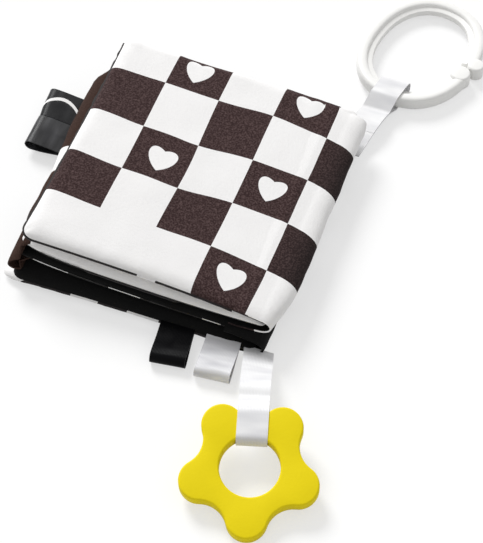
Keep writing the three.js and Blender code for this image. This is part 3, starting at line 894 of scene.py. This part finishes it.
def strip(name, columns, rows, place, materials, thickness, uv_name, uv_of):
    """A strip of cloth: place(u, v) gives the point for shares of its length and width."""
    bm = bmesh.new()
    bmesh.ops.create_grid(bm, x_segments=columns, y_segments=rows, size=0.5)
    layer = bm.loops.layers.uv.new(uv_name)
    for face in bm.faces:
        for loop in face.loops:
            loop[layer].uv = uv_of(loop.vert.co.x + 0.5, loop.vert.co.y + 0.5)
    for vert in bm.verts:
        vert.co = place(vert.co.x + 0.5, vert.co.y + 0.5)
    piece = finish_mesh(name, bm, materials)
    solid = piece.modifiers.new("thickness", "SOLIDIFY")
    solid.thickness = thickness * MM
    solid.offset = 0.0
    solid.material_offset = len(materials) - 1
    bake_in(piece)
    return piece


def bake_in(piece):
    """Puts the piece's modifiers into its mesh."""
    graph = bpy.context.evaluated_depsgraph_get()
    mesh = bpy.data.meshes.new_from_object(piece.evaluated_get(graph))
    piece.modifiers.clear()
    piece.data = mesh
    mesh.polygons.foreach_set("use_smooth", [True] * len(mesh.polygons))
    mesh.set_sharp_from_angle(angle=STRIP_SHARP)


# %% [markdown]
# ## Cloth folds
# Where two pages meet, the cloth runs on without wadding and rolls round in a soft bulge. Each fold starts a
# little inside the face of one pad, comes out of it smoothly so that the print runs on, and dips into the
# face of the other.

# %% Cloth folds
FOLD_THICK = 0.8
FOLD_SINK = 0.5
FOLD_RISE = 0.25
FOLD_BLEND = 5.0
FOLD_STEPS = 16
FOLD_TUCK = 3.0
END_TRIM = 0.9
RIPPLE = 0.35
END_BULGE = 0.45
LEFT_END_BULGE = 0.4
END_REACH = 0.85
ROLL_SAG = 4.6
ROLL_SLIM = 0.3
ROLL_OUT = 1.6


def face_point(number, side, x, y, sink):
    centre_x = centre_of(number)[0]
    lift = lift_at(number, x, y)
    return Vector((centre_x + x, 0.0, face_height(number, side, x, y, lift) - side * sink))


def fold_line(upper, sign, y, reach, height):
    """The line of a fold seen from the front: over the upper pad, round, and under the lower one."""
    lower = upper + 1
    middle_x = (centre_of(upper)[0] + centre_of(lower)[0]) / 2 + sign * (HALF_X - FOLD_TUCK)
    centre = Vector((middle_x, 0.0, steps_up(upper) * slot_thickness(sign * HALF_X)))
    ends = quarter_round((HALF_Y - abs(y)) / EDGE_ROUND)
    end_bulge, start, sag = END_BULGE, FOLD_START, 0.0
    if sign < 0:
        end_bulge, start, sag = LEFT_END_BULGE, LEFT_FOLD_START, 1 - ramp(y, -62.0, -44.0)
    centre.z -= ROLL_SAG * sag
    bulge = (end_bulge + (1 - end_bulge) * ends) * (1 - ROLL_SLIM * sag)
    points = [face_point(upper, 1, sign * start, y, FOLD_SINK),
              face_point(upper, 1, sign * (start + FOLD_BLEND), y, -FOLD_RISE)]
    for step in range(FOLD_STEPS + 1):
        angle = math.pi / 2 - math.pi * step / FOLD_STEPS
        out = sign * reach * math.cos(angle) * (END_REACH + (1 - END_REACH) * ends)
        points.append(centre + Vector((out, 0.0, height * bulge * math.sin(angle))))
    points.append(face_point(lower, -1, sign * (start + FOLD_BLEND), y, -FOLD_RISE))
    points.append(face_point(lower, -1, sign * start, y, FOLD_SINK))
    return points


def cover_reach(y):
    """The roll at the cover's right side is fullest a little behind its front end."""
    return 10.0 + 0.7 * (1 - ramp(y, -30.0, 45.0)) - 4.4 * (1 - ramp(y, -74.0, -46.0))


def left_reach(y):
    """The left roll stands out in its back half and is tucked under the cover in front."""
    return 6.2 + 3.8 * ramp(y, -25.0, 30.0) - 5.4 * ramp(y, 50.0, 59.0)


def lower_reach(y):
    """The roll of the lower pages reaches equally far all along, as the pile lies on it."""
    return 7.6


def make_fold(upper, sign, reach_at, height, materials, u_start):
    """The fold between a pad and the one below; it bends between two heights on its hinge's line."""
    half_length = HALF_Y - END_TRIM
    upper_y = centre_of(upper)[1]
    lower_y = centre_of(upper + 1)[1]
    length = line_length(fold_line(upper, sign, 0.0, reach_at(0.0), height))

    def place(u, v):
        y = half_length * crowded(2 * v - 1)
        point = along_line(fold_line(upper, sign, y, reach_at(y), height), u)
        ripple = RIPPLE * math.sin(math.pi * u) * noise.noise(Vector((y / 9, u * 2.2, upper * 7.7)))
        point.x += sign * ripple * 1.5
        point.y = upper_y + (lower_y - upper_y) * u + y
        if sign < 0:
            page = upper if u < 0.5 else upper + 1
            on_page = (2 * u - 1) ** 2
            point.y += on_page * front_step(page, -HALF_X, y)
            point.y -= (1 - on_page) * ROLL_OUT * (1 - ramp(y, -66.0, -50.0))
        if upper == 1:
            point.y += (1 - u) * back_bow(HALF_X, y)
        point.z = max(point.z, FOLD_THICK / 2)
        return point

    def uv_of(u, v):
        along = u_start + u * length
        y = half_length * crowded(2 * v - 1)
        if upper == 1:
            along, y = print_place(along, y)
        return along * MM, y * MM

    name = f"fold_{upper}{upper + 1}"
    piece = strip(name, 64, 60, place, materials, FOLD_THICK, "print", uv_of)
    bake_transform(piece)
    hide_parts(name + "_cloth")
    print(name, "cloth length", round(length, 1))


make_fold(1, 1, cover_reach, 5.35, [cover_print, fold_lining],
          FOLD_START)
make_fold(3, 1, lower_reach, 5.35, [dark_page, fold_lining],
          after_left_fold(FOLD_START))
make_fold(2, -1, left_reach, 8.45, [roll_print, roll_print],
          FOLD_START)

# %% [markdown]
# ## Ribbon loops
# A short length of satin is doubled and its ends are sewn into the seam, so it stands out as a slim drop.
# Its edge line is drawn once and swept across the ribbon's width, with a slight wobble, because a plain
# sweep looks like sheet metal.

# %% Ribbon loops
RIBBON_THICK = 0.5
WIDE = 19.4
NARROW = 18.0
LOOP_HEIGHT = 6.6
LOOP_ROOT = 4.5
LOOP_FLAT = 3.0
LOOP_GAP = 0.7
LOOP_INSET = 0.2
BEND_STEPS = 12


def loop_line(reach):
    """A doubled ribbon seen from its edge: out along the top, round, and back below."""
    half = LOOP_HEIGHT / 2
    radius = half - LOOP_INSET
    round_x = reach - half
    upper = [Vector((-LOOP_ROOT, 0, RIBBON_THICK)), Vector((LOOP_FLAT, 0, LOOP_GAP))]
    for share in (0.25, 0.5, 0.75):
        upper.append(Vector((LOOP_FLAT + (round_x - LOOP_FLAT) * share, 0,
                             LOOP_GAP + (radius - LOOP_GAP) * ramp(share, 0, 1))))
    bend = []
    for step in range(BEND_STEPS + 1):
        angle = math.pi / 2 - math.pi * step / BEND_STEPS
        bend.append(Vector((round_x + radius * math.cos(angle), 0, radius * math.sin(angle))))
    lower = [Vector((point.x, 0, -point.z)) for point in reversed(upper)]
    return upper + bend + lower


def make_loop(name, node, reach, width, root, direction, material, slant, seed):
    """A loop that stands out from its root in the seam and rests on the table."""
    line = loop_line(reach)
    length = line_length(line)
    out = Vector(direction).normalized()
    side = Vector((-out.y, out.x, 0))

    def place(u, v):
        point = along_line(line, u)
        far = max(0.0, point.x) / reach
        wobble = noise.noise(Vector((u * 4, v * 1.5, seed)))
        outwards = point.x + (slant * (0.5 - v) + 0.5 * wobble) * far
        spot = Vector(root) + out * outwards + side * width * (v - 0.5)
        spot.z = max(RIBBON_THICK / 2, spot.z + point.z * (1 - 0.12 * wobble) + 0.25 * wobble * far)
        return spot

    def uv_of(u, v):
        return width * v * MM, length * u * MM

    piece = strip(name, 48, 10, place, [material], RIBBON_THICK, "ribbon", uv_of)
    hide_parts(node)
    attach(piece, "bottom_panel")
    print(name, "ribbon length", round(length, 1))
    return piece


front_black = make_loop("front_ribbon_black", "front_loop_black", 21.5, NARROW, (25.9, -71.0, 3.7),
                        (0.13, -1, 0), black_satin, 0.0, 1.5)
front_white = make_loop("front_ribbon_white", "front_loop_white", 21.8, NARROW, (50.3, -71.3, 3.7),
                        (0.09, -1, 0), loop_satin, 0.0, 4.5)
left_back = make_loop("left_ribbon_back", "left_loop_back", 30.2, WIDE, (-65.0, 41.5, 5.7),
                      (-1, 0.02, 0), striped_satin, 2.6, 7.5)
left_front = make_loop("left_ribbon_front", "left_loop_front", 29.2, WIDE, (-65.0, 21.8, 5.7),
                       (-1, 0.02, 0), left_satin, 0.5, 9.5)
for piece in (left_back, left_front):
    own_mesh(piece)

# %% [markdown]
# ## Straps
# Each strap is a doubled ribbon, sewn into the seam and again at a neck, and open round the bar that it
# holds. It is two pieces that overlap between them: the run from the seam, and the loop with the doubled end
# that leads to it. One curve draws each of them; a cloth simulation would need the bar to hold it and would
# come out different each time.

# %% Straps
STRAP = 15.0
STRAP_ROOM = 0.7
NECK_BACK = 9.0
WRAP_BACK = 4.5
WRAP_LOW = 0.55
BAR_ROUND = 0.8
BAR_STEPS = 8
SKEW_LENGTH = 18.0
RUN_THICK = 1.0
LOOP_THICK = 0.5
LAYER = 0.4
RUN_END = 0.55
DOUBLED_START = 0.42
NECK_BLEND = 3.0
ROOT_BLEND = 6.0
STAR_TURN = math.radians(-73.6)
STAR_TILT = math.radians(12)
RING_TURN = math.radians(-11.9)
RING_TILT = math.radians(0.943)


class Strap:
    """The upright plane of one strap: x runs outwards from the seam, z is up."""

    def __init__(self, root, turn, bar, half_bar, tilt, arch, seam_turn, end_skew=0.0):
        self.root = Vector(root)
        self.out = Vector((math.cos(turn), math.sin(turn), 0))
        self.side = Vector((-math.sin(turn), math.cos(turn), 0))
        self.bar = bar
        self.half = (half_bar[0] + STRAP_ROOM, half_bar[1] + STRAP_ROOM)
        self.tilt = tilt
        self.arch = arch
        self.seam_turn = seam_turn
        self.end_skew = end_skew
        self.neck = self.by_bar(-(self.half[0] + NECK_BACK), 0.0)

    def by_bar(self, along, up):
        """A place given from the middle of the tilted bar."""
        return Vector((self.bar[0] + along * math.cos(self.tilt) + up * math.sin(self.tilt), 0,
                       self.bar[1] - along * math.sin(self.tilt) + up * math.cos(self.tilt)))

    def run(self, start, end, lift, steps=14):
        """Part of the arch from the seam to the neck."""
        root = Vector((-LOOP_ROOT, 0, self.root.z))
        first = Vector((self.neck.x / 3, 0, self.root.z + self.arch))
        second = Vector((2 * self.neck.x / 3, 0, self.neck.z + self.arch))
        points = []
        for step in range(steps + 1):
            t = start + (end - start) * step / steps
            point = (root * (1 - t) ** 3 + first * 3 * t * (1 - t) ** 2
                     + second * 3 * t * t * (1 - t) + self.neck * t ** 3)
            points.append(point + Vector((0, 0, lift)))
        return points

    def corner(self, side):
        """The rounded far corner above the bar, or below it where side is -1."""
        wide, high = self.half
        radius = high * BAR_ROUND
        points = []
        for step in range(BAR_STEPS + 1):
            angle = math.pi / 2 * step / BAR_STEPS
            points.append(self.by_bar(wide - radius + radius * math.cos(angle),
                                      side * (high - radius + radius * math.sin(angle))))
        return points

    def round_bar(self):
        """From the neck over the bar, round it and back below."""
        wide, high = self.half
        over = [self.by_bar(-wide - WRAP_BACK, high * WRAP_LOW), self.by_bar(-wide, high)]
        under = [self.by_bar(-wide, -high), self.by_bar(-wide - WRAP_BACK, -high * WRAP_LOW)]
        return over + list(reversed(self.corner(1))) + self.corner(-1) + under

    def world(self, point, across):
        """The place on the part; the seam crosses the strap askew, which fades along it."""
        fade = 1 - (1 - self.end_skew) * min(1.0, max(0.0, point.x) / SKEW_LENGTH)
        out = point.x + fade * across * math.tan(self.seam_turn)
        spot = Vector((self.root.x, self.root.y, 0)) + self.out * out + self.side * across
        spot.z = point.z
        return spot


def make_strap_piece(name, strap, line, thickness, node):
    length = line_length(line)

    def place(u, v):
        return strap.world(along_line(line, u), STRAP * (v - 0.5))

    def uv_of(u, v):
        return STRAP * v * MM, length * u * MM

    piece = strip(name, 72, 8, place, [white_satin], thickness, "ribbon", uv_of)
    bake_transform(piece)
    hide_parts(node)
    print(name, "ribbon length", round(length, 1))


def make_strap(name, strap, node):
    """The two pieces of a strap: the run from the seam and the doubled loop round the bar."""
    run = strap.run(0.0, RUN_END, 0.0)
    root = strap.world(run[0], 0.0)
    later = strap.world(Vector((ROOT_BLEND, 0, strap.root.z)), 0.0)
    make_strap_piece(name + "_run", strap, run, RUN_THICK, node)
    below = strap.run(DOUBLED_START, 1.0, -LAYER, 8)
    above = strap.run(DOUBLED_START, 1.0, LAYER, 8)
    loop = below + list(reversed(strap.round_bar())) + list(reversed(above))
    before = strap.world(strap.neck - Vector((NECK_BLEND, 0, 0)), 0.0)
    after = strap.world(strap.neck + Vector((NECK_BLEND, 0, 0)), 0.0)
    make_strap_piece(name + "_doubled", strap, loop, LOOP_THICK, node + "_loop")


star_strap = Strap(root=(69.6, -72.3, 2.75), turn=STAR_TURN, bar=(49.0, 14.3), half_bar=(7.31, 3.5),
                   tilt=STAR_TILT, arch=4.0, seam_turn=math.pi / 2 + STAR_TURN)
ring_strap = Strap(root=(69.6, 72.3, 2.75), turn=math.pi / 2 + RING_TURN, bar=(44.6, 5.27),
                   half_bar=(6.6, 4.0), tilt=RING_TILT, arch=3.0, seam_turn=RING_TURN, end_skew=1.0)
make_strap("star_ribbon", star_strap, "teether_strap")
make_strap("ring_ribbon_piece", ring_strap, "ring_strap")

# %% [markdown]
# ## Silicone star
# The teether is one flat moulding: five round lobes with round valleys between them and a round hole.
# Its outline is a circle of points whose distances follow those arcs. The hole's circle is bridged
# to it, the plate is given its thickness, and its edges are rounded. The lobes could be joined from
# discs, but then the valleys between them would be sharp.

# %% Silicone star
STAR_CENTRE = Vector((88.91, -138.1, 10.6))
LOBES = 5
LOBE_ANGLE = 2 * math.pi / LOBES
LOBE_RADIUS = 10.0
LOBE_CENTRE = 24.5
VALLEY_RADIUS = 24.8
VALLEY_ARC = 13.162
VALLEY_CENTRE = VALLEY_RADIUS + VALLEY_ARC
STAR_HOLE = 14.6
STAR_THICK = 7.0
STAR_LONG = 1.03
STAR_EDGE = 1.1
STAR_POINTS = 240


def lobe_share():
    """The direction, from the middle of a lobe, in which its arc touches the valley's arc."""
    valley_x = VALLEY_CENTRE * math.cos(LOBE_ANGLE / 2)
    valley_y = VALLEY_CENTRE * math.sin(LOBE_ANGLE / 2)
    away = math.hypot(valley_x - LOBE_CENTRE, valley_y)
    touch_x = LOBE_CENTRE + (valley_x - LOBE_CENTRE) * LOBE_RADIUS / away
    return math.atan2(valley_y * LOBE_RADIUS / away, touch_x)


def star_radius(angle):
    """How far the outline is from the middle in a given direction."""
    turned = (angle + LOBE_ANGLE / 2) % LOBE_ANGLE - LOBE_ANGLE / 2
    if abs(turned) <= lobe_share():
        side = LOBE_CENTRE * math.sin(turned)
        return LOBE_CENTRE * math.cos(turned) + math.sqrt(LOBE_RADIUS ** 2 - side ** 2)
    from_valley = LOBE_ANGLE / 2 - abs(turned)
    side = VALLEY_CENTRE * math.sin(from_valley)
    return VALLEY_CENTRE * math.cos(from_valley) - math.sqrt(VALLEY_ARC ** 2 - side ** 2)


def placed(bm, turn, tilt, centre):
    """Tilts a flat piece about its own cross axis, turns it and sets it down."""
    matrix = Matrix.Translation(centre) @ Matrix.Rotation(turn, 4, "Z") @ Matrix.Rotation(tilt, 4, "Y")
    bmesh.ops.transform(bm, matrix=matrix, verts=bm.verts)


def make_star():
    bm = bmesh.new()
    outer = bmesh.ops.create_circle(bm, segments=STAR_POINTS, radius=1.0)["verts"]
    bmesh.ops.create_circle(bm, segments=STAR_POINTS, radius=STAR_HOLE)
    for vert in outer:
        angle = math.atan2(vert.co.y, vert.co.x)
        vert.co = star_radius(angle) * Vector((math.cos(angle), math.sin(angle), 0))
    bmesh.ops.bridge_loops(bm, edges=bm.edges[:])
    bmesh.ops.solidify(bm, geom=bm.faces[:], thickness=STAR_THICK)
    bmesh.ops.recalc_face_normals(bm, faces=bm.faces)
    low = min(vert.co.z for vert in bm.verts)
    bmesh.ops.translate(bm, vec=(0, 0, -low - STAR_THICK / 2), verts=bm.verts)
    rims = [edge for edge in bm.edges if edge.is_manifold and edge.calc_face_angle(0) > math.radians(60)]
    bmesh.ops.scale(bm, vec=(STAR_LONG, 1.0, 1.0), verts=bm.verts)
    bmesh.ops.bevel(bm, geom=rims, offset=STAR_EDGE, segments=4, profile=0.5, affect="EDGES",
                    material=-1, clamp_overlap=True)
    placed(bm, STAR_TURN, STAR_TILT, STAR_CENTRE)
    return finish_mesh("star", bm, [silicone], sharp=45)


star = make_star()
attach(star, "teether")
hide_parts("star_teether")
print("star points", len(star.data.vertices))

# %% [markdown]
# ## Snap ring
# The link is an oval band with a thinner inner flange. It is open at one side, where a round nub and
# a smaller hook meet. The band's section is spun in a circle first and then moved out to the oval. A
# curve with this section along it would do as well, but a spin needs no second object.

# %% Snap ring
RING_CENTRE = Vector((85.89, 149.6, 4.675))
RING_X = 32.5
RING_Y = 41.0
RING_POWER = 2.2
RING_STEPS = 200
SPIN_RADIUS = 20.0
BAND_WIDTH = 6.0
BAND_HEIGHT = 8.0
NUB = 5.5
HOOK = 4.6
CLASP_GAP = 0.8
CLASP_OFFSET = 2.2
CLASP_PROUD = 0.25
CLASP_EDGE = 1.2


def oval(half_x, half_y, angle):
    c = math.cos(angle)
    s = math.sin(angle)
    return (half_x * math.copysign(abs(c) ** (2 / RING_POWER), c),
            half_y * math.copysign(abs(s) ** (2 / RING_POWER), s))


def oval_angle(y):
    return math.copysign(math.asin((abs(y) / RING_Y) ** (RING_POWER / 2)), y)


def band_section():
    """Half-round outside, a step down to the flange inside: inset from the outer edge, and height."""
    upper = [(0.0, 1.8), (0.35, 3.0), (1.2, 3.8), (2.2, 4.0), (4.2, 4.0), (5.2, 3.7), (5.8, 3.0),
             (6.0, 2.3), (7.6, 2.0), (8.6, 1.7), (9.0, 1.0)]
    lower = [(inset, -z) for inset, z in reversed(upper)]
    return [(0.0, 0.0)] + upper + lower


def add_band(bm, start, sweep):
    """Spins the band's section round and moves it out to the oval, open between nub and hook."""
    section = [bm.verts.new((SPIN_RADIUS - inset, 0, z)) for inset, z in band_section()]
    edges = [bm.edges.new((section[i - 1], section[i])) for i in range(len(section))]
    bmesh.ops.spin(bm, geom=section + edges, cent=(0, 0, 0), axis=(0, 0, 1), angle=sweep,
                   steps=RING_STEPS, use_merge=False, dvec=(0, 0, 0))
    for vert in bm.verts:
        angle = math.atan2(vert.co.y, vert.co.x) % (2 * math.pi)
        inset = SPIN_RADIUS - math.hypot(vert.co.x, vert.co.y)
        vert.co.x, vert.co.y = oval(RING_X - inset, RING_Y - inset, start + angle)
    bmesh.ops.holes_fill(bm, edges=[edge for edge in bm.edges if edge.is_boundary], sides=0)


def add_disc(bm, x, y, radius):
    """A round end of the clasp."""
    disc = bmesh.ops.create_cone(bm, cap_ends=True, segments=48, radius1=radius, radius2=radius,
                                 depth=BAND_HEIGHT + 2 * CLASP_PROUD)["verts"]
    rims = {edge for vert in disc for edge in vert.link_edges
            if abs(edge.verts[0].co.z - edge.verts[1].co.z) < 0.1}
    made = bmesh.ops.bevel(bm, geom=list(rims), offset=CLASP_EDGE, segments=4, profile=0.5,
                           affect="EDGES", material=-1)
    moved = set(made["verts"]) | {vert for vert in disc if vert.is_valid}
    bmesh.ops.translate(bm, vec=(x, y, 0), verts=list(moved))


def make_ring():
    apart = NUB + HOOK + CLASP_GAP
    rise = math.sqrt(apart ** 2 - (2 * CLASP_OFFSET) ** 2)
    middle = RING_X - BAND_WIDTH / 2
    nub = (middle - CLASP_OFFSET, -rise / 2)
    hook = (middle + CLASP_OFFSET, rise / 2)
    start = oval_angle(hook[1])
    bm = bmesh.new()
    add_band(bm, start, 2 * math.pi + oval_angle(nub[1]) - start)
    add_disc(bm, *nub, NUB)
    add_disc(bm, *hook, HOOK)
    bmesh.ops.recalc_face_normals(bm, faces=bm.faces)
    matrix = (Matrix.Translation(RING_CENTRE) @ Matrix.Rotation(RING_TURN, 4, "Z")
              @ Matrix.Rotation(-RING_TILT, 4, "X"))
    bmesh.ops.transform(bm, matrix=matrix, verts=bm.verts)
    return finish_mesh("ring_link", bm, [ivory], sharp=40)


ring = make_ring()
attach(ring, "ring")
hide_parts("snap_ring")
print("ring points", len(ring.data.vertices))
